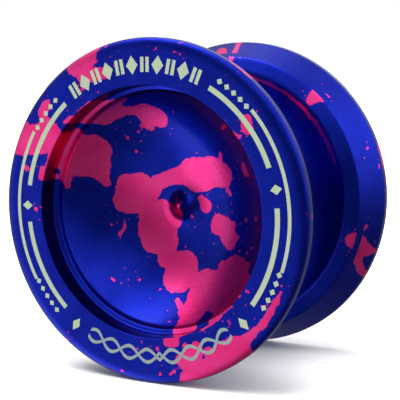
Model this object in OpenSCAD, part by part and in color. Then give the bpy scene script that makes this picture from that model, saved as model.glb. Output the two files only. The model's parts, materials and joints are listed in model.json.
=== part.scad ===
// Metal yo-yo: two turned half shells on a threaded axle, with a shielded ball bearing
// between them and a silicone response pad in each half.
// Axle along Y. The front half is on the -Y side, the back half on the +Y side. Millimetres.

/* [Node] */
// Which piece to draw

/* [Half shells] */
// Diameter over the rims
body_d = 56; // [50:0.5:60]
// Width over the two flat outer faces
body_w = 37.3; // [34:0.1:44]
// Outside diameter of the flat face ring
face_outer_d = 51.8; // [46:0.2:54]
// Inside diameter of the flat face ring, which is the mouth of the cup
face_inner_d = 41; // [36:0.2:46]
// How far the rounding from face to rim drops along the axle
rim_round = 0.95; // [0.4:0.05:2.5]
// Width of the straight land at the full diameter
rim_land = 1.25; // [0.5:0.05:4]
// Diameter at the inner edge of the tapered rim band
band_d = 50.3; // [44:0.1:54]
// Length of the tapered rim band along the axle
band_w = 5; // [2:0.1:8]
// Diameter at the foot of the step inside the band
step_d = 45.6; // [36:0.1:50]
// Length of the step along the axle
step_w = 1.2; // [0.2:0.1:3]

/* [Cup] */
// Depth of the plain wall inside the mouth
cup_wall = 3.35; // [1:0.05:6]
// Diameter at the bottom of that wall
cup_wall_d = 40.9; // [34:0.1:46]
// Inside diameter of the ledge below the wall
ledge_d = 39.4; // [30:0.1:45]
// Fall of the ledge along the axle
ledge_fall = 0.45; // [0:0.05:2]
// Diameter of the edge of the round bowl
bowl_d = 38.7; // [30:0.1:44]
// Drop from the ledge to the edge of the bowl
bowl_drop = 0.8; // [0.1:0.05:3]
// Distance of the bowl's lowest point from the middle of the body
bowl_floor = 5.2; // [4:0.1:9]
// Distance of the spike's tip from the middle of the body
spike_tip = 8; // [6:0.1:14]
// Radius of the foot of the spike
spike_r = 4; // [2:0.1:6]
// Radius of the flat on the spike's tip
spike_flat = 0.25; // [0.1:0.05:1]

/* [Gap] */
// Width of the gap for the cord at the response pads
gap = 4.3; // [3.5:0.05:6]
// Radius where the flat beside the pads ends
gap_flat_r = 10.6; // [10:0.1:14]
// Start angle of the curved side of the gap
gap_curve_from = 20; // [5:1:45]
// Straight steps in the curved side of the gap
gap_curve_steps = 12; // [6:1:24]

/* [Response pads] */
// Outside diameter of a pad
pad_outer_d = 19.1; // [18:0.1:20]
// Inside diameter of a pad
pad_inner_d = 14.1; // [13.6:0.1:15]
// Thickness of a pad
pad_t = 0.95; // [0.6:0.05:1.5]
// Play around a pad in its groove
pad_play = 0.05; // [0.02:0.01:0.15]

/* [Bearing] */
// Outside diameter of the bearing
bearing_d = 12.7; // [12.7:0.1:13]
// Bore of the bearing
bearing_bore = 6.35; // [6.35:0.05:6.5]
// Width of the bearing
bearing_w = 4.76; // [4.5:0.01:5]
// Ball diameter
ball_d = 1.588; // [1.5:0.001:1.7]
// Play between a ball and its two tracks
ball_play = 0.03; // [0.01:0.01:0.08]
// Outside diameter of the inner race beside the ball track
inner_land_d = 8.1; // [7.6:0.1:8.6]
// Inside diameter of the outer race beside the ball track
outer_land_d = 10.9; // [10.4:0.1:11.2]
// Clearance of the inner race on the posts, on the radius
post_play = 0.02; // [0.01:0.01:0.1]
// Radius of the shoulder that the inner race sits against
shoulder_r = 3.95; // [3.5:0.05:4.2]
// Clearance around the outer race in its recess
recess_play = 0.25; // [0.1:0.05:0.5]

/* [Shields] */
// Thickness of a shield
shield_t = 0.2; // [0.1:0.05:0.4]
// Diameter of the step in the outer race that holds a shield
shield_seat_d = 11.7; // [11:0.1:12]
// Distance of a shield's outer face from the side of the bearing
shield_inset = 0.3; // [0.2:0.05:0.6]
// Inside diameter of a shield
shield_inner_d = 8.5; // [8.2:0.1:9]
// Thickness of a snap ring
ring_t = 0.2; // [0.1:0.05:0.3]
// Inside diameter of a snap ring
ring_inner_d = 11.1; // [10.6:0.1:11.5]
// Opening of a snap ring, in degrees
ring_open = 16; // [8:1:40]

/* [Cage] */
// Sheet thickness of the cage
cage_t = 0.15; // [0.1:0.01:0.25]
// Width of the cage ribbon from inside to outside
cage_w = 0.7; // [0.4:0.05:1.1]
// Play of a ball in its pocket
pocket_play = 0.05; // [0.02:0.01:0.1]
// Rivet diameter
rivet_d = 0.36; // [0.2:0.02:0.5]
// Height of a rivet head
rivet_head = 0.1; // [0.05:0.01:0.2]

/* [Axle] */
// Thread diameter of the axle
axle_d = 3.96; // [2.9:0.01:4.96]
// Length of the axle
axle_l = 10; // [8:1:14]
// Clearance of the axle in its holes, on the radius
axle_play = 0.03; // [0.01:0.01:0.1]
// Width across the flats of the hexagon socket
socket_af = 2; // [1.5:0.5:2.5]
// Depth of the hexagon socket
socket_depth = 2; // [1:0.25:3]

/* [Hidden] */
$fn = 96;
body_r = body_d / 2;
face_y = body_w / 2;
land_y = face_y - rim_round;
band_y = land_y - rim_land;
step_y = band_y - band_w;
foot_y = step_y - step_w;
wall_y = face_y - cup_wall;
ledge_y = wall_y - ledge_fall;
bowl_y = ledge_y - bowl_drop;
bowl_r = bowl_d / 2;
// The bowl is part of a ball that passes through its edge and its lowest point
bowl_ball_y = (pow(bowl_r, 2) + pow(bowl_y, 2) - pow(bowl_floor, 2)) / (2 * (bowl_y - bowl_floor));
bowl_ball_r = bowl_ball_y - bowl_floor;
gap_y = gap / 2;
gap_rx = (step_d / 2 - gap_flat_r) / cos(gap_curve_from);
gap_ry = (foot_y - gap_y) / (1 - sin(gap_curve_from));
half_w = bearing_w / 2;
shoulder_y = half_w + 0.01;
relief_y = half_w + recess_play;
recess_r = bearing_d / 2 + recess_play;
post_r = bearing_bore / 2 - post_play;
post_end = 0.25;
hole_r = axle_d / 2 + axle_play;
hole_end = axle_l / 2 + 0.3;
pad_floor = gap_y + pad_t + pad_play;
track_r = (bearing_bore + bearing_d) / 4;
ball_n = 8;
ball_step = 360 / ball_n;
shield_y = half_w - shield_inset;
ring_y = shield_y + 0.01;
ring_r = shield_seat_d / 2 + 0.13;
pocket_r = ball_d / 2 + pocket_play;

blue = [0.07, 0.12, 0.62];
steel = [0.72, 0.73, 0.75];
dark_steel = [0.45, 0.46, 0.48];
silicone = [0.9, 0.9, 0.88];

// Points along part of an ellipse
function curve(cx, cy, rx, ry, from, to, steps) =
    [for (i = [0 : steps])
        [cx + rx * cos(from + (to - from) * i / steps), cy + ry * sin(from + (to - from) * i / steps)]];

// Turns a profile drawn as [radius, distance along the axle] into a solid on the back side
module turned() {
    rotate([-90, 0, 0])
        rotate_extrude(convexity = 6)
            children();
}

module tube(outer_r, inner_r, from, to) {
    turned()
        translate([inner_r, from])
            square([outer_r - inner_r, to - from]);
}

module rod(r, from, to) {
    translate([0, from, 0])
        rotate([-90, 0, 0])
            cylinder(r = r, h = to - from);
}

module front() {
    mirror([0, 1, 0])
        children();
}

// Closed outline of one half shell, cut by a plane through the axle, before the bowl is taken out
module half_outline() {
    polygon(concat(
        [[0, post_end]],
        [[post_r, post_end]],
        [[post_r, shoulder_y]],
        [[shoulder_r, shoulder_y]],
        [[shoulder_r, relief_y]],
        [[recess_r, relief_y]],
        [[recess_r, gap_y]],
        [[pad_inner_d / 2 - pad_play, gap_y]],
        [[pad_inner_d / 2 - pad_play, pad_floor]],
        [[pad_outer_d / 2 + pad_play, pad_floor]],
        [[pad_outer_d / 2 + pad_play, gap_y]],
        curve(step_d / 2, foot_y - gap_ry, -gap_rx, gap_ry, gap_curve_from, 90, gap_curve_steps),
        [[band_d / 2, step_y]],
        [[body_r, band_y]],
        curve(face_outer_d / 2, land_y, body_r - face_outer_d / 2, rim_round, 0, 90, 8),
        [[face_inner_d / 2, face_y]],
        [[cup_wall_d / 2, wall_y]],
        [[ledge_d / 2, ledge_y]],
        [[bowl_r, bowl_y]],
        [[0, bowl_y]]
    ));
}

module half_shell() {
    color(blue)
        difference() {
            union() {
                difference() {
                    turned()
                        half_outline();
                    intersection() {
                        translate([0, bowl_ball_y, 0])
                            rotate([-90, 0, 0])
                                sphere(r = bowl_ball_r);
                        rod(bowl_r, bowl_floor - 1, bowl_y + 1);
                    }
                }
                turned()
                    polygon([
                        [0, bowl_floor - 0.5],
                        [spike_r, bowl_floor - 0.5],
                        [spike_r, bowl_floor],
                        [spike_flat, spike_tip],
                        [0, spike_tip]
                    ]);
            }
            rod(hole_r, post_end - 1, hole_end);
        }
}

module front_half() {
    front()
        half_shell();
}

module back_half() {
    half_shell();
}

// Set screw with a hexagon socket in the front end
module axle() {
    color(dark_steel)
        difference() {
            turned()
                polygon([
                    [0, -axle_l / 2],
                    [axle_d / 2 - 0.4, -axle_l / 2],
                    [axle_d / 2, 0.4 - axle_l / 2],
                    [axle_d / 2, axle_l / 2 - 0.4],
                    [axle_d / 2 - 0.4, axle_l / 2],
                    [0, axle_l / 2]
                ]);
            translate([0, -axle_l / 2 - 1, 0])
                rotate([-90, 0, 0])
                    cylinder(d = socket_af / cos(30), h = socket_depth + 1, $fn = 6);
        }
}

module ball_track() {
    turned()
        translate([track_r, 0])
            circle(r = ball_d / 2 + ball_play);
}

module bearing_inner_race() {
    color(steel)
        difference() {
            turned()
                polygon([
                    [bearing_bore / 2, 0.15 - half_w],
                    [bearing_bore / 2 + 0.15, -half_w],
                    [inner_land_d / 2 - 0.1, -half_w],
                    [inner_land_d / 2, 0.1 - half_w],
                    [inner_land_d / 2, half_w - 0.1],
                    [inner_land_d / 2 - 0.1, half_w],
                    [bearing_bore / 2 + 0.15, half_w],
                    [bearing_bore / 2, half_w - 0.15]
                ]);
            ball_track();
        }
}

module bearing_outer_race() {
    color(steel)
        difference() {
            turned()
                polygon([
                    [outer_land_d / 2, -half_w],
                    [bearing_d / 2 - 0.2, -half_w],
                    [bearing_d / 2, 0.2 - half_w],
                    [bearing_d / 2, half_w - 0.2],
                    [bearing_d / 2 - 0.2, half_w],
                    [outer_land_d / 2, half_w]
                ]);
            ball_track();
            race_steps();
            front()
                race_steps();
        }
}

// Seat of a shield, with the groove for its snap ring
module race_steps() {
    tube(shield_seat_d / 2, outer_land_d / 2 - 1, shield_y - shield_t, half_w + 1);
    tube(ring_r + 0.02, outer_land_d / 2 - 1, shield_y, shield_y + ring_t + 0.03);
}

module ball(i) {
    color(steel)
        rotate([0, -ball_step * (i - 1), 0])
            translate([track_r, 0, 0])
                rotate([90, 0, 0])
                    sphere(d = ball_d);
}

// One pressed half of the cage: flats between the balls and a half pocket round each ball
module cage_half() {
    color(steel)
        difference() {
            intersection() {
                tube(track_r + cage_w / 2, track_r - cage_w / 2, 0, 2);
                union() {
                    tube(track_r + cage_w, track_r - cage_w, 0, cage_t);
                    for (i = [1 : ball_n])
                        rotate([0, -ball_step * (i - 1), 0])
                            translate([track_r, 0, 0])
                                rotate([90, 0, 0])
                                    sphere(r = pocket_r + cage_t);
                }
            }
            for (i = [1 : ball_n])
                rotate([0, -ball_step * (i - 1), 0])
                    translate([track_r, 0, 0])
                        rotate([90, 0, 0])
                            sphere(r = pocket_r);
            for (i = [1 : ball_n])
                rotate([0, -ball_step * (i - 0.5), 0])
                    translate([track_r, 0, 0])
                        rod(rivet_d / 2, -1, 1);
        }
}

module cage_front() {
    front()
        cage_half();
}

module cage_back() {
    cage_half();
}

// One rivet between each pair of balls
module cage_rivets() {
    color(dark_steel)
        for (i = [1 : ball_n])
            rotate([0, -ball_step * (i - 0.5), 0])
                translate([track_r, 0, 0]) {
                    rod(rivet_d / 2, -cage_t - rivet_head, cage_t + rivet_head);
                    rod(rivet_d / 2 + 0.1, cage_t, cage_t + rivet_head);
                    rod(rivet_d / 2 + 0.1, -cage_t - rivet_head, -cage_t);
                }
}

module shield() {
    color(steel)
        turned()
            polygon([
                [shield_inner_d / 2, shield_y - shield_t - 0.1],
                [shield_inner_d / 2 + 0.35, shield_y - shield_t - 0.1],
                [shield_inner_d / 2 + 0.6, shield_y - shield_t],
                [shield_seat_d / 2 - 0.02, shield_y - shield_t],
                [shield_seat_d / 2 - 0.02, shield_y],
                [shield_inner_d / 2 + 0.5, shield_y],
                [shield_inner_d / 2 + 0.25, shield_y - 0.1],
                [shield_inner_d / 2, shield_y - 0.1]
            ]);
}

module front_shield() {
    front()
        shield();
}

module back_shield() {
    shield();
}

// Open spring ring that keeps a shield in its seat
module snap_ring(turn) {
    color(dark_steel)
        rotate([0, turn, 0])
            difference() {
                tube(ring_r, ring_inner_d / 2, ring_y, ring_y + ring_t);
                for (side = [-1, 1])
                    rotate([0, side * ring_open / 4, 0])
                        translate([ring_r - 1.5, ring_y - 1, -ring_r * sin(ring_open / 4) - 0.02])
                            cube([3, 3, 2 * ring_r * sin(ring_open / 4) + 0.04]);
            }
}

module front_snap_ring() {
    front()
        snap_ring(-60);
}

module back_snap_ring() {
    snap_ring(75);
}

module pad() {
    color(silicone)
        tube(pad_outer_d / 2, pad_inner_d / 2, pad_floor - pad_t, pad_floor);
}

module front_response_pad() {
    front()
        pad();
}

module back_response_pad() {
    pad();
}

front_half();
back_half();
axle();
bearing_inner_race();
bearing_outer_race();
ball(1);  // ball_1
ball(2);  // ball_2
ball(3);  // ball_3
ball(4);  // ball_4
ball(5);  // ball_5
ball(6);  // ball_6
ball(7);  // ball_7
ball(8);  // ball_8
cage_front();
cage_back();
cage_rivets();
front_shield();
back_shield();
front_snap_ring();
back_snap_ring();
front_response_pad();
back_response_pad();
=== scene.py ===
import json
import math

import bpy
import numpy as np
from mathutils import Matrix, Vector


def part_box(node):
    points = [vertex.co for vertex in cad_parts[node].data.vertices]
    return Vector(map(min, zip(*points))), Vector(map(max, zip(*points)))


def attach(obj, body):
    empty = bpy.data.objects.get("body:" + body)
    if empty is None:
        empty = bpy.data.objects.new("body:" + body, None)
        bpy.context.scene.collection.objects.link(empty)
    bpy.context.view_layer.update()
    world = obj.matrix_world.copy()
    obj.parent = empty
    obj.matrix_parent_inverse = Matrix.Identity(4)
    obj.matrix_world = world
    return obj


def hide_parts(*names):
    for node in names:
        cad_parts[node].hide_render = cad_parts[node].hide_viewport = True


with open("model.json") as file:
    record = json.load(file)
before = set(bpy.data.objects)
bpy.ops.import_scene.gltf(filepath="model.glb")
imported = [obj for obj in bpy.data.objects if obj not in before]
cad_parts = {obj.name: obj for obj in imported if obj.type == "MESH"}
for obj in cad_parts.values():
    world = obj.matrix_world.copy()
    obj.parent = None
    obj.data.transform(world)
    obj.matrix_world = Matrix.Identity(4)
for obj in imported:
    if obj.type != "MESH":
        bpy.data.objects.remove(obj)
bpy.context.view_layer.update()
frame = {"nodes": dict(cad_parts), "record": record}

MM = 0.001
MERGE = 0.002 * MM                  # points closer than this are one point

# ---------------------------------------------------------------- sizes, in millimetres

# The axle line is Y. A turned outline is a list of (radius, distance from the middle).
half_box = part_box("back_half")
body_r = half_box[1].z / MM
face_y = half_box[1].y / MM
rounding_h, land_w, taper_w, step_h = 0.95, 1.25, 5.0, 1.2
land_y = face_y - rounding_h        # where the rounded edge meets the land
taper_y = land_y - land_w           # where the land ends and the tapered band starts
step_y = taper_y - taper_w
foot_y = step_y - step_h
face_outer_r = 25.9
face_inner_r = 20.5
band_r = 25.15
step_r = 22.8
mouth_h, ledge_drop, bowl_drop = 3.35, 0.45, 0.8
mouth_y = face_y - mouth_h          # bottom of the plain wall inside the mouth
mouth_r = 20.45
ledge_r, ledge_y = 19.7, mouth_y - ledge_drop
bowl_r, bowl_y = 19.35, ledge_y - bowl_drop
bowl_floor = 5.2
spike_foot_r = 4.3
spike_tip_r, spike_tip_y = 0.25, 8.0
gap_y = 2.15
gap_flat_r = 10.6
gap_curve_start = 20                # degrees left out where the curve meets the flat

pad_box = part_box("back_response_pad")
pad_outer_r = pad_box[1].z / MM
pad_y0, pad_y1 = pad_box[0].y / MM, pad_box[1].y / MM
pad_inner_r = 7.05
pad_play = 0.05

race_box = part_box("bearing_outer_race")
race_r = race_box[1].z / MM
race_half_w = race_box[1].y / MM
post_r, post_y = 3.155, 0.25
race_play = 0.25                    # room round the outer race and behind it
shoulder_r, shoulder_y = 3.95, race_half_w + 0.01
relief_y = race_half_w + race_play
recess_r = race_r + race_play

axle_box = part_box("axle")
axle_end = axle_box[1].y / MM
axle_r = axle_box[1].z / MM
hole_r, hole_y = axle_r + 0.03, axle_end + 0.3
drill_point = 0.8
thread_pitch = 0.7
thread_root_r, thread_crest_r = 1.58, axle_r - 0.01
end_chamfer = 0.4
key_across_flats = 2.0
socket_r = key_across_flats / 2 / math.cos(math.radians(30))
socket_depth = 2.0


# ---------------------------------------------------------------- modelling helpers

def deselect():
    """Nothing selected, in object mode."""
    if bpy.context.object and bpy.context.object.mode != "OBJECT":
        bpy.ops.object.mode_set(mode="OBJECT")
    bpy.ops.object.select_all(action="DESELECT")


def pick(piece):
    """Only this piece selected and active."""
    deselect()
    piece.select_set(True)
    bpy.context.view_layer.objects.active = piece
    return piece


def edit(piece):
    """This piece in edit mode, with nothing in it selected."""
    pick(piece)
    bpy.ops.object.mode_set(mode="EDIT")
    bpy.ops.mesh.select_all(action="DESELECT")


def settle(piece, name):
    """Name, origin and transforms of a finished piece."""
    pick(piece)
    bpy.ops.object.transform_apply(location=True, rotation=True, scale=True)
    piece.name = piece.data.name = name
    return piece


def curve(centre, radii, start, stop, steps):
    """Points along part of an ellipse, angles in degrees."""
    turns = [math.radians(start + (stop - start) * i / steps) for i in range(steps + 1)]
    return [(centre[0] + radii[0] * math.cos(a), centre[1] + radii[1] * math.sin(a), 0) for a in turns]


def soften(corners, steps=4):
    """Outline whose corners (radius, along, cut) are rounded over the cut length."""
    outline = []
    for i, (r, y, cut) in enumerate(corners):
        if not cut or i in (0, len(corners) - 1):
            outline.append((r, y))
            continue
        here = Vector((r, y))
        before = Vector(corners[i - 1][:2]) - here
        after = Vector(corners[i + 1][:2]) - here
        start = here + before.normalized() * min(cut, before.length * 0.49)
        end = here + after.normalized() * min(cut, after.length * 0.49)
        for k in range(steps + 1):
            t = k / steps
            point = start * (1 - t) ** 2 + here * 2 * t * (1 - t) + end * t * t
            outline.append((point.x, point.y))
    return outline


def refine(outline, longest):
    """The same outline with no stretch longer than that."""
    fine = [outline[0]]
    for a, b in zip(outline, outline[1:]):
        parts = max(1, math.ceil(math.dist(a, b) / longest - 1e-6))
        fine += [(a[0] + (b[0] - a[0]) * k / parts, a[1] + (b[1] - a[1]) * k / parts)
                 for k in range(1, parts + 1)]
    return fine


def trace(outline):
    """A run of edges through the points of an outline, in millimetres."""
    deselect()
    bpy.ops.mesh.primitive_plane_add(size=MM, location=(outline[0][0] * MM, outline[0][1] * MM, 0))
    piece = bpy.context.object
    bpy.ops.object.transform_apply(location=True)
    select_all_of(piece)
    bpy.ops.mesh.merge(type="CENTER")
    for a, b in zip(outline, outline[1:]):
        move = ((b[0] - a[0]) * MM, (b[1] - a[1]) * MM, 0)
        bpy.ops.mesh.extrude_region_move(TRANSFORM_OT_translate={"value": move})
    bpy.ops.object.mode_set(mode="OBJECT")
    return piece


def select_all_of(piece):
    """This piece in edit mode, all of it selected."""
    edit(piece)
    bpy.ops.mesh.select_all(action="SELECT")


def turn(name, outline, steps):
    """Turns an outline in millimetres round the axle line, as on a lathe."""
    piece = trace(outline)
    lathe = piece.modifiers.new("lathe", "SCREW")
    lathe.axis, lathe.angle, lathe.use_merge_vertices = "Y", math.tau, True
    lathe.steps = lathe.render_steps = steps
    lathe.merge_threshold = MERGE
    bpy.ops.object.modifier_apply(modifier=lathe.name)
    select_all_of(piece)
    bpy.ops.mesh.remove_doubles(threshold=MERGE)
    bpy.ops.mesh.normals_make_consistent(inside=False)
    bpy.ops.object.mode_set(mode="OBJECT")
    bpy.ops.object.shade_smooth_by_angle(angle=math.radians(32))
    return settle(piece, name)


def mirrored(piece, name):
    """A copy of a back piece, for the front."""
    pick(piece)
    bpy.ops.object.duplicate()
    twin = bpy.context.object
    bpy.ops.transform.mirror(constraint_axis=(False, True, False), center_override=(0, 0, 0))
    settle(twin, name)
    select_all_of(twin)
    bpy.ops.mesh.normals_make_consistent(inside=False)
    bpy.ops.object.mode_set(mode="OBJECT")
    return twin


# ---------------------------------------------------------------- splashes of dye

FAR = 9.0                           # further from any stroke than the noise or droplets reach
BLEND = 0.7                         # how softly strokes run into each other
GAP_ARC_R = 22.1
RIM_R = 26.5                        # radius at which the rim's strokes have their true width

# Each stroke is a run of (x, z, radius) seen from the front, in millimetres.
FACE_STROKES = [
    # ring, upper left
    [(-14.0, 23.3, 1.2), (-12.3, 24.4, 1.3), (-10.9, 25.0, 0.8)],
    [(-13.2, 22.6, 0.9), (-9.2, 24.2, 0.35)],
    [(-12.3, 21.9, 0.9), (-10.5, 22.0, 1.2), (-8.6, 22.3, 0.9), (-6.9, 22.0, 0.6)],
    [(-11.8, 21.2, 0.7), (-11.9, 19.6, 0.25)],
    # ring, left
    [(-20.0, 15.8, 1.0), (-19.2, 17.0, 0.9), (-18.8, 17.6, 0.4)],
    [(-19.6, 14.6, 1.0), (-18.9, 12.2, 2.4), (-19.3, 11.2, 2.2)],
    [(-21.5, 12.0, 1.9), (-21.8, 10.6, 1.9), (-20.0, 10.9, 2.0)],
    [(-24.6, 12.2, 1.6), (-25.2, 10.4, 1.7), (-24.0, 9.8, 1.3)],
    [(-25.8, 10.0, 1.5), (-22.5, 10.2, 1.6)],
    [(-23.6, 6.3, 0.5), (-23.2, 6.3, 0.5)],
    [(-20.2, 6.3, 0.6), (-20.3, 5.0, 0.6), (-19.9, 4.8, 0.5)],
    # arm across the top of the cup
    [(-15.6, 14.2, 0.3), (-14.2, 14.8, 0.5), (-13.5, 14.9, 0.4)],
    [(-14.3, 14.4, 0.5), (-11.5, 15.0, 1.2), (-9.0, 15.9, 1.0), (-6.5, 16.2, 0.6)],
    [(-6.5, 16.2, 0.6), (-4.2, 15.7, 1.6), (-2.6, 15.0, 1.7)],
    [(-4.5, 15.2, 1.6), (-4.7, 13.9, 1.2)],
    [(-13.9, 14.6, 0.5), (-12.0, 16.2, 0.5), (-10.2, 17.4, 0.5)],
    [(-10.5, 16.6, 0.9), (-8.2, 17.5, 0.5), (-6.2, 18.2, 0.15)],
    # cup, left
    [(-14.4, 9.4, 2.6), (-16.4, 8.0, 2.2), (-17.6, 6.6, 1.4)],
    [(-15.0, 6.4, 2.0), (-17.0, 6.2, 1.5)],
    [(-14.2, 5.0, 1.2), (-13.4, 3.5, 0.65)],
    [(-13.6, 7.0, 1.2), (-13.8, 6.0, 1.2)],
    [(-18.3, 5.8, 0.9), (-18.6, 4.2, 0.5), (-18.7, 2.9, 0.3)],
    [(-18.9, 6.8, 0.8), (-17.6, 9.6, 0.8), (-16.2, 11.6, 0.7), (-15.4, 12.6, 0.5)],
    # band across the middle of the cup
    [(-10.4, 1.6, 2.0), (-10.0, 3.0, 2.0), (-8.0, 3.6, 1.7)],
    [(-10.6, 0.2, 2.0), (-8.2, 0.4, 2.4)],
    [(-8.0, 2.0, 2.4), (-6.2, 2.0, 1.5)],
    [(-5.2, 3.6, 1.3), (-2.6, 4.6, 1.3), (0.4, 5.3, 1.8)],
    [(1.5, 5.4, 2.6), (3.4, 5.4, 2.9), (6.0, 6.0, 2.5), (7.9, 5.6, 2.2)],
    [(2.2, 3.6, 1.4), (4.0, 4.0, 1.3)],
    [(7.9, 8.2, 0.4), (8.1, 9.1, 0.35)],
    [(8.8, 3.2, 0.4), (9.3, 2.4, 0.35)],
    [(-4.4, -0.6, 1.4), (-2.6, -1.6, 1.5), (-1.4, -2.0, 1.0)],
    # spike
    [(-0.3, -0.3, 0.5), (-1.0, -1.6, 0.9), (-1.6, -3.0, 1.0)],
    [(0.2, 0.4, 0.25), (-0.5, 0.1, 0.4)],
    # from the middle down to the lower edge
    [(-6.4, -2.0, 2.2), (-5.6, -4.4, 2.8), (-5.2, -6.0, 2.6)],
    [(-3.6, -3.4, 1.8), (-3.2, -6.2, 2.0), (-2.8, -9.0, 1.7)],
    [(0.6, -10.8, 3.1)],
    [(-0.2, -12.0, 2.5), (0.8, -12.0, 2.4)],
    # cup, lower right
    [(6.0, -13.2, 3.0), (8.6, -13.2, 3.0)],
    [(12.0, -10.6, 3.4), (12.6, -12.0, 3.0), (10.6, -13.6, 3.0)],
    [(8.8, -9.5, 0.9), (9.6, -10.2, 1.2)],
    [(14.0, -10.5, 1.8), (15.4, -10.4, 1.0)],
    [(13.4, -9.4, 1.4), (14.9, -8.2, 0.5)],
    [(5.0, -15.0, 2.2), (4.6, -17.0, 1.6), (4.2, -18.4, 1.2)],
    [(3.6, -17.4, 0.9), (3.0, -17.2, 0.6), (1.2, -15.5, 0.35)],
    [(6.4, -16.4, 1.4), (6.0, -17.6, 0.9)],
    [(10.8, -15.6, 1.3), (11.8, -14.8, 1.5), (13.6, -13.2, 1.4)],
    [(10.2, -17.3, 0.8), (12.6, -15.6, 0.8), (14.6, -13.8, 0.6), (15.6, -12.4, 0.4)],
    [(3.4, -19.4, 0.7), (5.6, -19.2, 0.7), (6.8, -18.8, 0.5)],
    # ring, bottom
    [(4.0, -20.6, 0.9), (5.2, -20.6, 0.9)],
    [(9.2, -21.0, 1.0), (8.6, -22.4, 1.6), (6.6, -23.4, 1.2)],
    [(7.8, -23.9, 1.3), (11.0, -23.8, 1.0), (12.2, -24.2, 0.6)],
    [(11.4, -21.6, 1.0), (12.6, -22.6, 1.1)],
    [(14.2, -21.2, 1.8), (16.6, -20.2, 1.8), (15.6, -19.4, 1.0)],
    [(13.8, -23.2, 0.9), (16.0, -22.2, 1.2), (17.8, -20.6, 1.0)],
    [(7.0, -26.3, 0.8), (9.2, -25.7, 0.8), (11.6, -24.8, 0.6)],
    [(17.6, -19.0, 1.0), (19.4, -17.4, 0.6), (20.8, -16.0, 0.6), (22.0, -14.0, 0.55)],
    [(22.0, -14.0, 0.55), (22.9, -12.4, 0.45), (23.7, -10.9, 0.2)],
    # ovals
    [(3.1, 1.3, 0.5), (4.1, 0.0, 1.15)],
    [(6.9, -2.9, 1.8), (8.2, -3.2, 1.7), (9.3, -3.2, 1.2)],
    [(9.0, -4.6, 1.7), (9.6, -5.4, 1.4)],
    [(10.6, -4.6, 0.9), (11.6, -4.5, 0.35)],
    [(17.8, 15.2, 1.0), (18.0, 13.9, 1.0)],
    [(13.4, 7.7, 0.4), (13.3, 6.8, 0.6), (14.2, 6.0, 0.35)],
    # short dashes
    [(10.3, 13.6, 0.4), (11.0, 14.0, 0.35)],
    [(13.6, 12.5, 0.3), (14.3, 12.4, 0.3)],
    [(15.0, 13.6, 0.3), (16.0, 12.7, 0.35)],
    [(5.2, 25.6, 0.15), (7.2, 25.0, 0.12)],
    [(-10.8, -3.0, 0.15), (-10.7, -4.3, 0.15), (-11.3, -5.4, 0.35)],
    [(16.2, -11.9, 0.35), (16.8, -12.0, 0.3)],
]
FACE_SPECKS = [
    (-5.2, 24.2, 0.2), (10.2, -2.4, 0.4), (13.2, 5.8, 0.25), (-6.9, 12.5, 0.25), (-8.9, 11.4, 0.3),
    (-8.1, 9.0, 0.25), (-6.0, 13.4, 0.25), (0.5, 15.9, 0.25), (13.2, -1.4, 0.4), (15.8, -0.9, 0.35),
    (1.5, -1.8, 0.3), (12.2, -6.5, 0.3), (14.2, -6.6, 0.25), (15.1, -5.7, 0.2), (16.7, 12.6, 0.25),
    (2.0, 26.2, 0.3), (-21.7, -0.6, 0.35), (-12.0, -3.6, 0.25), (-12.8, -3.8, 0.2),
    (-6.7, -12.9, 0.2), (-2.6, -14.2, 0.2), (-15.9, -22.6, 0.3), (-4.8, -26.5, 0.25),
    (-1.7, -22.4, 0.25), (18.2, -11.2, 0.35), (2.1, -22.1, 0.35), (5.1, -25.4, 0.4),
    (4.2, -26.0, 0.2), (2.5, -26.2, 0.25), (7.2, -21.0, 0.5),
]
# Each stroke on the rim is a run of (turn in degrees, distance from the middle, radius).
BACK_RIM_STROKES = [
    [(-19, 16.0, 0.6), (-19, 14.0, 1.4), (-16, 12.3, 1.5), (-14, 11.6, 0.8)],
    [(-12, 12.2, 0.5), (-9.5, 13.2, 0.35)],
    [(-30, 17.6, 0.5), (-27, 15.0, 0.7), (-22, 13.0, 0.9)],
    [(44, 12.9, 0.2), (45, 12.2, 0.8), (47.5, 11.6, 1.3)],
    [(91.5, 18.3, 0.6), (91, 16.0, 0.45), (90, 13.5, 0.45), (89.5, 11.6, 0.6)],
    [(97, 14.0, 1.0), (95, 12.4, 1.0), (94, 11.5, 0.7)],
    [(96, 18.6, 0.5), (101, 18.5, 0.5)],
    [(132, 17.5, 0.6), (140, 16.4, 1.5), (146, 15.4, 1.2), (155, 15.0, 0.3)],
    [(150, 12.6, 0.7), (158, 12.8, 1.1), (163, 13.9, 0.5)],
    [(203, 18.0, 1.3), (209, 16.2, 1.9), (214, 14.2, 1.3), (216, 12.4, 0.4)],
    [(222, 16.8, 0.9), (231, 15.9, 0.3)],
    [(262, 12.2, 1.0), (268, 13.1, 1.4), (276, 12.6, 0.6)],
    [(296, 17.9, 0.8), (301, 16.9, 1.2), (306, 16.6, 0.4)],
    [(118, 12.4, 0.3)], [(121, 13.4, 0.22)], [(180, 16.2, 0.3)], [(186, 14.1, 0.25)], [(240, 13.8, 0.3)],
    [(252, 16.9, 0.25)], [(20, 14.6, 0.22)], [(66, 15.8, 0.25)], [(318, 13.6, 0.3)],
]
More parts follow.
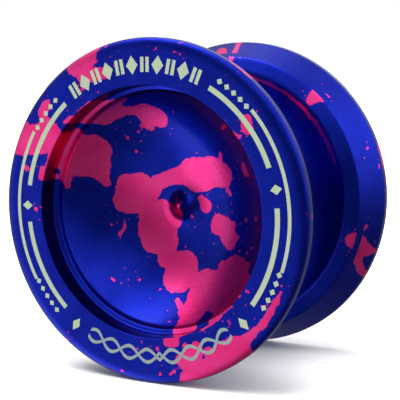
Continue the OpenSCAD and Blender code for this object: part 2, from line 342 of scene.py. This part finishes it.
FRONT_RIM_STROKES = [
    [(112, 18.2, 0.7), (108, 16.6, 1.3), (104, 15.2, 1.0), (101, 13.6, 0.3)],
    [(152, 18.2, 1.5), (156, 16.4, 2.0), (160, 14.4, 1.4), (158, 12.4, 0.6)],
    [(170, 15.8, 0.8), (176, 15.2, 0.3)],
    [(300, 18.3, 1.3), (304, 16.5, 1.7), (308, 14.3, 1.1), (311, 12.4, 0.4)],
    [(284, 17.9, 0.7), (287, 16.2, 0.9), (291, 15.4, 0.3)],
    [(20, 12.4, 0.8), (27, 13.2, 1.3), (33, 12.7, 0.8), (38, 13.4, 0.3)],
    [(52, 16.9, 0.8), (58, 16.1, 1.1), (62, 15.0, 0.3)],
    [(340, 16.0, 0.9), (347, 15.0, 1.5), (353, 14.6, 0.9), (357, 13.7, 0.3)],
    [(222, 13.4, 0.9), (230, 12.8, 1.4), (238, 13.2, 0.5)],
    [(72, 13.6, 0.3)], [(80, 15.6, 0.22)], [(130, 14.0, 0.3)], [(196, 16.8, 0.28)], [(206, 14.2, 0.25)],
    [(262, 15.6, 0.3)], [(2, 16.9, 0.25)], [(322, 16.2, 0.25)],
]
# Each stroke in the gap is a run of (x, z, radius), seen from the front.
GAP_STROKES = [
    [(14.0, 12.6, 0.5)],
    [(4.0, 14.0, 0.5), (7.0, 16.4, 1.5), (9.2, 18.0, 1.9), (12.0, 19.0, 0.5)],
    [(-9.0, -14.0, 1.2), (-10.6, -16.4, 2.0), (-9.8, -19.4, 1.1)],
    [(-16.0, -4.0, 0.3)], [(-2.0, 16.0, 0.35)], [(3.0, -17.0, 0.3)], [(1.0, -19.6, 0.25)],
    # a thin run along the edge of the gap
    [(GAP_ARC_R * math.cos(math.radians(a)), GAP_ARC_R * math.sin(math.radians(a)), 0.3)
     for a in range(158, 220, 10)],
]


def reach(across, along, strokes, across_scale=1.0):
    """Distance in millimetres from points to the edge of the strokes, less than zero inside them."""
    nearest = np.full(across.shape, FAR)
    for stroke in strokes:
        ends = list(zip(stroke, stroke[1:])) or [(stroke[0], stroke[0])]
        for (ax, az, ar), (bx, bz, br) in ends:
            dx, dz = (bx - ax) * across_scale, bz - az
            px, pz = (across - ax) * across_scale, along - az
            t = np.clip((px * dx + pz * dz) / max(dx * dx + dz * dz, 1e-9), 0, 1)
            gap = np.hypot(px - t * dx, pz - t * dz) - (ar + t * (br - ar))
            blend = np.clip(0.5 + (nearest - gap) / BLEND, 0, 1)
            nearest = nearest + (gap - nearest) * blend - BLEND / 2 * blend * (1 - blend)
    return nearest


def splash(piece, side, turned_by, rim_strokes):
    """Writes each point's distance to the edge of the dye, as the attribute splash."""
    count = len(piece.data.vertices)
    place = np.zeros(count * 3)
    piece.data.vertices.foreach_get("co", place)
    x, y, z = place.reshape(-1, 3).T / MM
    y = y * side
    r = np.hypot(x, z)
    turn_deg = np.degrees(np.arctan2(z, x))
    a = math.radians(turned_by)
    across, up = x * math.cos(a) - z * math.sin(a), x * math.sin(a) + z * math.cos(a)
    # The strokes of the face, the rim and the gap each keep to their own side of the shell
    past_edge = np.clip(land_y - y, 0, FAR) * (r > face_inner_r + 1)
    inner_side = (r < step_r + 0.4) & (y < foot_y + 0.6) & (y < bowl_shape(r) - 0.6)
    outer_side = (r < face_outer_r) & ~inner_side & (y > step_y + 0.3)
    specks = [[speck] for speck in FACE_SPECKS]
    face = reach(across, up, FACE_STROKES + specks) + past_edge * 1.2 + inner_side * FAR
    seam = -60
    wrapped = (turn_deg - seam) % 360 + seam
    wide = math.radians(1) * RIM_R
    rim = np.minimum(reach(wrapped, y, rim_strokes, wide), reach(wrapped - 360, y, rim_strokes, wide))
    rim = rim + outer_side * FAR + inner_side * FAR
    gap = reach(across, up, GAP_STROKES) + (~inner_side) * FAR
    distance = np.minimum(np.minimum(face, rim), gap)
    layer = piece.data.attributes.new("splash", "FLOAT", "POINT")
    layer.data.foreach_set("value", distance.astype(np.float32))


# ---------------------------------------------------------------- half shells

ball_centre_y = (bowl_r ** 2 + bowl_y ** 2 - bowl_floor ** 2) / (2 * (bowl_y - bowl_floor))
ball_r = ball_centre_y - bowl_floor


def bowl_shape(r):
    """Height of the round bowl at a radius."""
    return ball_centre_y - np.sqrt(np.maximum(ball_r ** 2 - np.minimum(r, bowl_r) ** 2, 0))


def half_outline():
    """Outline of the back half shell, from the tip of the spike round to the axle hole."""
    bowl_from = math.degrees(math.asin(spike_foot_r / ball_r))
    bowl_to = math.degrees(math.asin(bowl_r / ball_r))
    spike_h = spike_tip_y - bowl_floor
    # the flanks of the spike are hollow, and run into the bowl
    flank = [(1.35, bowl_floor + spike_h * 0.5, 0.9), (2.8, bowl_floor + spike_h * 0.16, 1.2)]
    bowl = curve((0, ball_centre_y), (ball_r, ball_r), bowl_from - 90, bowl_to - 90, 34)
    gap_rx = (step_r - gap_flat_r) / math.cos(math.radians(gap_curve_start))
    gap_ry = (foot_y - gap_y) / (1 - math.sin(math.radians(gap_curve_start)))
    fillet = curve((step_r, foot_y - gap_ry), (-gap_rx, gap_ry), 90, gap_curve_start, 22)
    corners = [(0, spike_tip_y, 0), (spike_tip_r, spike_tip_y, 0.12)]
    corners += flank + bowl
    corners += [
        (ledge_r, ledge_y, 0.15), (mouth_r, mouth_y, 0.2), (face_inner_r, face_y, 0.14),
    ]
    corners += curve((face_outer_r, land_y), (body_r - face_outer_r, face_y - land_y), 90, 0, 12)
    corners += [(body_r, taper_y, 0.12), (band_r, step_y, 0.18)]
    corners += fillet
    groove = pad_y1 + pad_play
    corners += [
        (pad_outer_r + pad_play, gap_y, 0.08), (pad_outer_r + pad_play, groove, 0.1),
        (pad_inner_r - pad_play, groove, 0.1), (pad_inner_r - pad_play, gap_y, 0.08),
        (recess_r, gap_y, 0.08), (recess_r, relief_y, 0.08), (shoulder_r, relief_y, 0.05),
        (shoulder_r, shoulder_y, 0.03), (post_r, shoulder_y, 0.03), (post_r, post_y, 0.15),
        (hole_r, post_y, 0.15), (hole_r, hole_y, 0.1), (0, hole_y + drill_point, 0),
    ]
    return corners


SHELL_SPACING, SHELL_STEPS = 0.5, 340   # fine enough for the edges of the splashes
BACK_TURN = 140                         # how far the back's splashes are turned from the front's


def half_shells():
    """The two shells, each turned in one piece and splashed with dye."""
    outline = refine(soften(half_outline(), 3), SHELL_SPACING)
    back = turn("back_half_shell", outline, SHELL_STEPS)
    front = mirrored(back, "front_half_shell")
    splash(back, 1, BACK_TURN, BACK_RIM_STROKES)
    splash(front, -1, 0, FRONT_RIM_STROKES)
    for piece, body, node in ((back, "back_half_body", "back_half"),
                              (front, "front_half_body", "front_half")):
        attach(piece, body)
        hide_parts(node)
    return front, back


front_shell, back_shell = half_shells()


# ---------------------------------------------------------------- material helpers

class Wire:
    """A value in a material. Arithmetic on it adds the nodes that work it out."""

    def __init__(self, finish, socket):
        self.finish, self.socket = finish, socket

    def math(self, operation, *others):
        made = self.finish.node("ShaderNodeMath", {"operation": operation},
                                dict(enumerate((self, *others))))
        return Wire(self.finish, made.outputs[0])

    def reflected(self, operation, other):
        """The same with the other value first."""
        made = self.finish.node("ShaderNodeMath", {"operation": operation}, {0: other, 1: self})
        return Wire(self.finish, made.outputs[0])

    def __add__(self, other):
        return self.math("ADD", other)

    def __radd__(self, other):
        return self.math("ADD", other)

    def __sub__(self, other):
        return self.math("SUBTRACT", other)

    def __rsub__(self, other):
        return self.reflected("SUBTRACT", other)

    def __mul__(self, other):
        return self.math("MULTIPLY", other)

    def __rmul__(self, other):
        return self.math("MULTIPLY", other)

    def __truediv__(self, other):
        return self.math("DIVIDE", other)

    def __rtruediv__(self, other):
        return self.reflected("DIVIDE", other)

    def __pow__(self, other):
        return self.math("POWER", other)

    def __lt__(self, other):
        return self.math("LESS_THAN", other)

    def __gt__(self, other):
        return self.math("GREATER_THAN", other)

    def __abs__(self):
        return self.math("ABSOLUTE")

    def max(self, other):
        return self.math("MAXIMUM", other)

    def ramp(self, low, high, out_low=0.0, out_high=1.0):
        """Eases from out_low to out_high as this goes from low to high."""
        node = self.finish.node("ShaderNodeMapRange", {"interpolation_type": "SMOOTHSTEP"},
                                {"Value": self, "From Min": low, "From Max": high,
                                 "To Min": out_low, "To Max": out_high})
        return Wire(self.finish, node.outputs[0])


class Finish:
    """A material with one Principled shader. Constants are set on the shader itself."""

    def __init__(self, name, **constants):
        self.material = bpy.data.materials.new(name)
        self.material.use_nodes = True
        self.tree = self.material.node_tree
        self.shader = self.tree.nodes["Principled BSDF"]
        for socket, value in constants.items():
            label = socket.replace("_", " ").title().replace("Ior", "IOR")
            self.shader.inputs[label].default_value = value
        self.place = self.node("ShaderNodeTexCoord").outputs["Object"]
        split = self.node("ShaderNodeSeparateXYZ", {}, {0: self.place})
        self.x, self.y, self.z = (Wire(self, out) * (1 / MM) for out in split.outputs)
        self.r = (self.x * self.x + self.z * self.z) ** 0.5

    def node(self, kind, settings=None, sockets=None):
        """Adds a node: settings first, then the values or links of its sockets."""
        made = self.tree.nodes.new(kind)
        for setting, value in (settings or {}).items():
            setattr(made, setting, value)
        for key, value in (sockets or {}).items():
            value = value.socket if isinstance(value, Wire) else value
            if isinstance(value, bpy.types.NodeSocket):
                self.tree.links.new(value, made.inputs[key])
            else:
                made.inputs[key].default_value = value
        return made

    def noise(self, scale, detail=2.0, roughness=0.5):
        """Noise in millimetres: scale is how many cells to a millimetre."""
        made = self.node("ShaderNodeTexNoise", {}, {"Vector": self.place, "Scale": scale / MM,
                                                    "Detail": detail, "Roughness": roughness})
        return Wire(self, made.outputs[0])

    def noise_along(self, position, scale, detail=2.0, roughness=0.6):
        """Noise that changes along one measure only, such as the radius."""
        made = self.node("ShaderNodeTexNoise", {"noise_dimensions": "1D"},
                         {"W": position, "Scale": scale, "Detail": detail, "Roughness": roughness})
        return Wire(self, made.outputs[0])

    def mix(self, factor, first, second):
        """Colour between two colours."""
        made = self.node("ShaderNodeMix", {"data_type": "RGBA"}, {0: factor, 6: first, 7: second})
        return made.outputs[2]

    def feed(self, **sockets):
        for name, value in sockets.items():
            value = value.socket if isinstance(value, Wire) else value
            self.tree.links.new(value, self.shader.inputs[name.replace("_", " ").title()])

    def bump(self, height, distance):
        """Relief of a height from 0 to 1 over a distance in millimetres."""
        made = self.node("ShaderNodeBump", {}, {"Strength": 1.0, "Distance": distance * MM, "Height": height})
        self.feed(normal=Wire(self, made.outputs[0]))


def srgb(red, green, blue):
    """Linear colour from a 0 to 255 screen colour."""
    def linear(c):
        c = c / 255
        return c / 12.92 if c <= 0.04045 else ((c + 0.055) / 1.055) ** 2.4
    return (linear(red), linear(green), linear(blue), 1)


def coat_piece(piece, finish):
    """Gives a piece this finish alone."""
    piece.data.materials.clear()
    piece.data.materials.append(finish.material)


# ---------------------------------------------------------------- anodised shells

# Radii and half widths of the engraving are in millimetres. Turns are in degrees away from the top
# of the ornament.
ORNAMENT_TOP = 96.0                 # turn of that top from the right
ARC_R, ARC_W = 23.1, 0.42           # thick inner arcs
UPPER_ARC, LOWER_ARC, ARC_SPAN = 55.5, 111.0, 20.0
RIM_ARC_R, RIM_ARC_W = 25.1, 0.3    # thin outer arcs
RIM_ARC, RIM_ARC_SPAN = 84.0, 30.0
FRIEZE_R, FRIEZE_PITCH, FRIEZE_SPAN = 23.7, 5.7, 31.35
DASH_R, DASH_PITCH, DASH_SPAN = 24.85, 3.4, 8.4
UPPER_DASHES, LOWER_DASHES = 45.0, 122.0
BRAID_R, BRAID_SWING, BRAID_W = 23.4, 1.05, 0.3
BRAID_PITCH, BRAID_START = 17, 146.0
FACE_MARGIN = 0.06                  # how far below the face a point may be and still be engraved


def ornament(finish, side):
    """Masks of the engraving on the flat ring: arcs, lozenges and bars, and a duller braid."""
    turn_deg = finish.z.math("ARCTAN2", finish.x) * (180 / math.pi)
    lean = (turn_deg - ORNAMENT_TOP).math("WRAP", 180.0, -180.0)
    away = abs(lean)
    mm_per_deg = finish.r * (math.pi / 180)

    def lozenge(across, along, half_across, half_along):
        return (abs(across) * (1 / half_across) + abs(along) * (1 / half_along)) < 1.0

    def cells(angle, pitch):
        """Position in the cell, in millimetres, and the number of the cell."""
        shifted = angle / pitch + 0.5
        number = shifted.math("FLOOR")
        return (shifted - number - 0.5) * pitch * mm_per_deg, number

    def dash_row(middle):
        across = cells(away - middle, DASH_PITCH)[0]
        return lozenge(across, finish.r - DASH_R, 0.55, 0.52) * (abs(away - middle) < DASH_SPAN)

    thick = (abs(away - UPPER_ARC) < ARC_SPAN).max(abs(away - LOWER_ARC) < ARC_SPAN)
    thick = (abs(finish.r - ARC_R) < ARC_W) * thick
    thin = (abs(finish.r - RIM_ARC_R) < RIM_ARC_W) * (abs(away - RIM_ARC) < RIM_ARC_SPAN)
    # top: lozenges and pairs of bars in turn
    across, number = cells(lean, FRIEZE_PITCH)
    along = finish.r - FRIEZE_R
    odd = number.math("FLOORED_MODULO", 2.0) > 0.5
    diamonds = lozenge(across, along, 1.08, 1.5)
    bars = (abs(abs(across) - 0.48) < 0.31) * (abs(along) < 1.2)
    top = (away < FRIEZE_SPAN) * (diamonds * (1.0 - odd) + bars * odd)
    # short rows of dashes, and the single lozenges beside the arcs
    dashes = dash_row(UPPER_DASHES).max(dash_row(LOWER_DASHES))
    single = lozenge((away - 84.0) * mm_per_deg, finish.r - 23.35, 0.8, 1.0)
    single = single.max(lozenge((away - 139.0) * mm_per_deg, finish.r - 23.9, 0.75, 1.25))
    # bottom: a braid of two waves
    swing = (lean * (math.pi / 180 * 360 / BRAID_PITCH)).math("SINE") * BRAID_SWING
    along = finish.r - BRAID_R
    braid = (abs(along - swing) < BRAID_W).max(abs(along + swing) < BRAID_W)
    braid = braid * (away > BRAID_START)
    on_face = (finish.y * side) > face_y - FACE_MARGIN
    bright = thick.max(thin).max(top).max(dashes).max(single) * on_face
    return bright, braid * on_face


BLUE_DYE = srgb(0, 24, 154), srgb(4, 30, 168)
BLUE_RINGS = srgb(0, 18, 140)
PINK_DYE = srgb(244, 46, 136), srgb(252, 62, 150)
PALE_MARK, DULL_MARK = srgb(150, 164, 137), srgb(120, 134, 133)
DROPLET_REACH = 1.7                 # how far from a splash its droplets fall
RING_DEPTH = 0.006


def anodised(name, side):
    """Blue and pink dye under a clear satin skin, with turning marks and the engraving."""
    finish = Finish(name, coat_ior=1.6, coat_roughness=0.12, specular_ior_level=0.5)
    dye = Wire(finish, finish.node("ShaderNodeAttribute", {"attribute_name": "splash"}).outputs["Fac"])
    ragged = (finish.noise(1.0, 3.0) - 0.5) * 0.7 + (finish.noise(3.2, 3.0) - 0.5) * 0.35
    pink = (dye + ragged).ramp(0.05, -0.05)
    droplets = (finish.noise(1.9, 1.0) > 0.74) * (dye < DROPLET_REACH)
    pink = pink.max(droplets)
    bright, dull = ornament(finish, side)
    cloud = finish.noise(0.25, 3.0).ramp(0.3, 0.7)
    # rings left by the turning tool
    travel = finish.r + finish.y * side
    fine_rings = finish.noise_along(travel, 14.0, 3.0, 0.7)
    wide_rings = finish.noise_along(travel, 2.2, 2.0, 0.6)
    blue = finish.mix(cloud, *BLUE_DYE)
    blue = finish.mix(wide_rings.ramp(0.35, 0.75) * 0.35, blue, BLUE_RINGS)
    colour = finish.mix(pink, blue, finish.mix(cloud, *PINK_DYE))
    colour = finish.mix(bright, colour, PALE_MARK)
    colour = finish.mix(dull, colour, DULL_MARK)
    # the engraving is bare, matt and hardly metallic
    mark = bright.max(dull)
    finish.feed(base_color=colour,
                metallic=1.0 - mark * 0.9,
                roughness=fine_rings.ramp(0.2, 0.8, 0.2, 0.3) + mark * 0.25,
                coat_weight=0.13 - mark * 0.1)
    finish.bump(fine_rings + wide_rings * 0.5, RING_DEPTH)
    return finish


coat_piece(front_shell, anodised("front_anodised", -1))
coat_piece(back_shell, anodised("back_anodised", 1))


# ---------------------------------------------------------------- silicone response pads

PAD_SPACING, PAD_STEPS = 0.3, 180


def response_pads():
    """A soft ring in the groove of each shell."""
    low, high = pad_y0, pad_y1
    outline = soften([
        (pad_inner_r, (low + high) / 2, 0), (pad_inner_r, low, 0.2), (pad_outer_r, low, 0.2),
        (pad_outer_r, high, 0.12), (pad_inner_r, high, 0.12), (pad_inner_r, (low + high) / 2, 0),
    ])
    back = turn("back_pad", refine(outline, PAD_SPACING), PAD_STEPS)
    front = mirrored(back, "front_pad")
    finish = Finish("silicone", subsurface_weight=0.15, specular_ior_level=0.4)
    finish.shader.inputs["Subsurface Radius"].default_value = (0.001, 0.0009, 0.0008)
    grain = finish.noise(6.0, 4.0)
    dust = finish.noise(0.7, 4.0, 0.6).ramp(0.45, 0.75)
    finish.feed(base_color=finish.mix(dust * 0.5, srgb(236, 236, 232), srgb(206, 205, 200)),
                roughness=grain.ramp(0.2, 0.8, 0.5, 0.68))
    finish.bump(grain, 0.02)
    for piece, side in ((back, "back"), (front, "front")):
        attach(piece, side + "_half_body")
        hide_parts(side + "_response_pad")
        coat_piece(piece, finish)


response_pads()


# ---------------------------------------------------------------- threaded axle

def cut(piece, tool, operation):
    """Cuts a piece with a closed tool, which is used up."""
    pick(piece)
    saw = piece.modifiers.new("cut", "BOOLEAN")
    saw.object, saw.operation, saw.solver = tool, operation, "EXACT"
    bpy.ops.object.modifier_apply(modifier=saw.name)
    pick(tool)
    bpy.ops.object.delete()


def close_end(piece, end):
    """Closes the open end of a thread on the low (-1) or high (1) side."""
    edit(piece)
    bpy.ops.mesh.select_non_manifold()
    bpy.ops.object.mode_set(mode="OBJECT")
    for vertex in piece.data.vertices:
        vertex.select = vertex.select and vertex.co.y * end > 0
    for edge in piece.data.edges:
        edge.select = all(piece.data.vertices[k].select for k in edge.vertices)
    bpy.ops.object.mode_set(mode="EDIT")
    bpy.ops.mesh.extrude_region_move()
    bpy.ops.mesh.merge(type="CENTER")
    bpy.ops.object.mode_set(mode="OBJECT")


THREAD_STEPS, ROD_STEPS = 48, 64


def thread_core():
    """A right-handed helix of ridges, longer than the axle."""
    rounds = math.ceil(2 * axle_end / thread_pitch) + 2
    start = -(rounds + 1) * thread_pitch / 2
    # one ridge, with the distance along it as a share of the pitch
    shape = [(thread_root_r, 0), (thread_root_r, 0.12), (thread_crest_r, 0.44),
             (thread_crest_r, 0.56), (thread_root_r, 0.88), (thread_root_r, 1)]
    core = trace([(r, start + thread_pitch * along) for r, along in shape])
    helix = core.modifiers.new("helix", "SCREW")
    helix.axis, helix.angle, helix.iterations = "Y", math.tau, rounds
    helix.screw_offset = thread_pitch * MM
    helix.steps = helix.render_steps = THREAD_STEPS
    bpy.ops.object.modifier_apply(modifier=helix.name)
    select_all_of(core)
    bpy.ops.mesh.remove_doubles(threshold=MERGE)
    bpy.ops.object.mode_set(mode="OBJECT")
    close_end(core, -1)
    close_end(core, 1)
    select_all_of(core)
    bpy.ops.mesh.normals_make_consistent(inside=False)
    bpy.ops.object.mode_set(mode="OBJECT")
    return core


def threaded_axle():
    """Chamfered set screw with a hexagon socket in its front end."""
    rod_r, rod_end = axle_r - end_chamfer, axle_end - end_chamfer
    axle = turn("threaded_axle", soften([
        (0, -axle_end, 0), (rod_r, -axle_end, 0.05), (axle_r, -rod_end, 0.05),
        (axle_r, rod_end, 0.05), (rod_r, axle_end, 0.05), (0, axle_end, 0),
    ], 2), ROD_STEPS)
    cut(axle, thread_core(), "INTERSECT")
    deselect()
    key_length = socket_depth + 1
    middle = -axle_end + socket_depth - key_length / 2
    bpy.ops.mesh.primitive_cylinder_add(vertices=6, radius=socket_r * MM, depth=key_length * MM,
                                        location=(0, middle * MM, 0), rotation=(math.pi / 2, 0, 0))
    cut(axle, settle(bpy.context.object, "key"), "DIFFERENCE")
    pick(axle)
    bpy.ops.object.shade_smooth_by_angle(angle=math.radians(25))
    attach(axle, "back_half_body")
    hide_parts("axle")
    return axle


screw = threaded_axle()


# ---------------------------------------------------------------- carried-over bearing nodes

def steel(name, tint, rough, rings):
    """Ground or pressed steel, with rings round the axle and a few fine scratches."""
    finish = Finish(name)
    travel = finish.r + finish.y * 0.7
    lines = finish.noise_along(travel, rings, 4.0, 0.7)
    stain = finish.noise(1.3, 4.0, 0.6).ramp(0.4, 0.8)
    dark = tuple(c * 0.72 for c in tint[:3]) + (1,)
    finish.feed(base_color=finish.mix(stain * 0.4 + lines * 0.25, tint, dark),
                roughness=lines.ramp(0.2, 0.8, rough, rough + 0.12) + stain * 0.05)
    finish.shader.inputs["Metallic"].default_value = 1.0
    finish.bump(lines + finish.noise(9.0, 2.0) * 0.3, 0.003)
    return finish


FINISHES = {
    "axle_steel": steel("oiled_axle_steel", srgb(168, 168, 172), 0.28, 9.0),
    "bearing_steel": steel("ground_race_steel", srgb(212, 214, 218), 0.16, 20.0),
    "ball_steel": steel("polished_ball_steel", srgb(232, 233, 236), 0.06, 30.0),
    "cage_steel": steel("pressed_cage_steel", srgb(200, 196, 186), 0.3, 12.0),
    "shield_steel": steel("pressed_shield_steel", srgb(206, 208, 212), 0.22, 16.0),
}
coat_piece(screw, FINISHES["axle_steel"])
for row in frame["record"]["subparts"]:
    node, slot_name = row["node"], row["material_slot"]
    if slot_name in FINISHES:
        coat_piece(frame["nodes"][node], FINISHES[slot_name])


# ---------------------------------------------------------------- floor, light and camera

scene = bpy.context.scene
scene.view_settings.view_transform = "Standard"


def aim(obj, target=(0, 0, 0)):
    """Points a light or the camera at a place."""
    away = obj.location - Vector(target)
    obj.rotation_euler = away.to_track_quat("Z", "Y").to_euler()


def bearing(azimuth, elevation):
    """Direction from the middle: azimuth 0 is in front, 90 to the right."""
    a, e = math.radians(azimuth), math.radians(elevation)
    return Vector((math.sin(a) * math.cos(e), -math.cos(a) * math.cos(e), math.sin(e)))


FLOOR_SIZE, FLOOR_GAP = 6, 0.00005  # metres


def studio_floor():
    deselect()
    bpy.ops.mesh.primitive_plane_add(size=FLOOR_SIZE, location=(0, 0, half_box[0].z - FLOOR_GAP))
    floor = settle(bpy.context.object, "studio_floor")
    finish = Finish("pale_floor", roughness=0.9, specular_ior_level=0.1)
    shade = finish.noise(0.01, 3.0)
    finish.feed(base_color=finish.mix(shade, (0.9, 0.9, 0.9, 1), (0.93, 0.93, 0.93, 1)))
    coat_piece(floor, finish)
    floor.visible_glossy = False


def soft_sun(azimuth, elevation, strength, spread):
    """Broad even light for the floor. The metal mirrors the glows of the studio instead."""
    light = bpy.data.lights.new("soft_sun", "SUN")
    light.energy, light.angle = strength, math.radians(spread)
    lamp = bpy.data.objects.new("soft_sun", light)
    scene.collection.objects.link(lamp)
    lamp.location = bearing(azimuth, elevation)
    aim(lamp)
    lamp.visible_glossy = False


# Each glow of the studio: azimuth, elevation, how narrow it is, and how bright.
GLOWS = [
    (-72, 70, 12, 4.5),
    (-72, 0, 4, 0.55),
    (-62, -42, 14, 1.9),
    (-32, -5, 12, 0.45),
    (-2, -28, 16, 0.5),
    (25, 50, 12, 1.0),
    (98, 36, 5, 1.75),
    (180, 35, 4, 0.7),
]
FAINT_GLOW = 0.08


def studio_world():
    """White to the camera. What the metal mirrors is a dim room with wide soft glows."""
    world = bpy.data.worlds.new("soft_studio")
    scene.world = world
    world.use_nodes = True
    tree = world.node_tree
    nodes, links = tree.nodes, tree.links
    direction = nodes.new("ShaderNodeTexCoord").outputs["Generated"]
    total = None
    for azimuth, elevation, narrow, bright in GLOWS:
        dot = nodes.new("ShaderNodeVectorMath")
        dot.operation = "DOT_PRODUCT"
        links.new(direction, dot.inputs[0])
        dot.inputs[1].default_value = bearing(azimuth, elevation)
        positive = nodes.new("ShaderNodeMath")
        positive.operation = "MAXIMUM"
        links.new(dot.outputs["Value"], positive.inputs[0])
        power = nodes.new("ShaderNodeMath")
        power.operation = "POWER"
        links.new(positive.outputs[0], power.inputs[0])
        power.inputs[1].default_value = narrow
        scaled = nodes.new("ShaderNodeMath")
        scaled.operation = "MULTIPLY_ADD"
        links.new(power.outputs[0], scaled.inputs[0])
        scaled.inputs[1].default_value = bright
        if total is None:
            scaled.inputs[2].default_value = FAINT_GLOW
        else:
            links.new(total, scaled.inputs[2])
        total = scaled.outputs[0]
    seen = nodes.new("ShaderNodeLightPath").outputs["Is Camera Ray"]
    mixed = nodes.new("ShaderNodeMix")
    links.new(seen, mixed.inputs[0])
    links.new(total, mixed.inputs[2])
    mixed.inputs[3].default_value = 1.0
    links.new(mixed.outputs[0], nodes["Background"].inputs["Strength"])
    nodes["Background"].inputs["Color"].default_value = (1, 1, 1, 1)


CAMERA_AZIMUTH, CAMERA_ELEVATION, CAMERA_AWAY = 28.04, 6.43, 0.199


def studio_camera():
    camera = bpy.data.cameras.new("camera")
    camera.lens, camera.sensor_width = 102.4, 36
    camera.shift_x, camera.shift_y = -0.0012, 0.0038
    camera.clip_start = 0.01
    holder = bpy.data.objects.new("camera", camera)
    scene.collection.objects.link(holder)
    holder.location = bearing(CAMERA_AZIMUTH, CAMERA_ELEVATION) * CAMERA_AWAY
    aim(holder)
    scene.camera = holder


studio_floor()
studio_world()
soft_sun(azimuth=-35, elevation=72, strength=3.2, spread=50)
studio_camera()
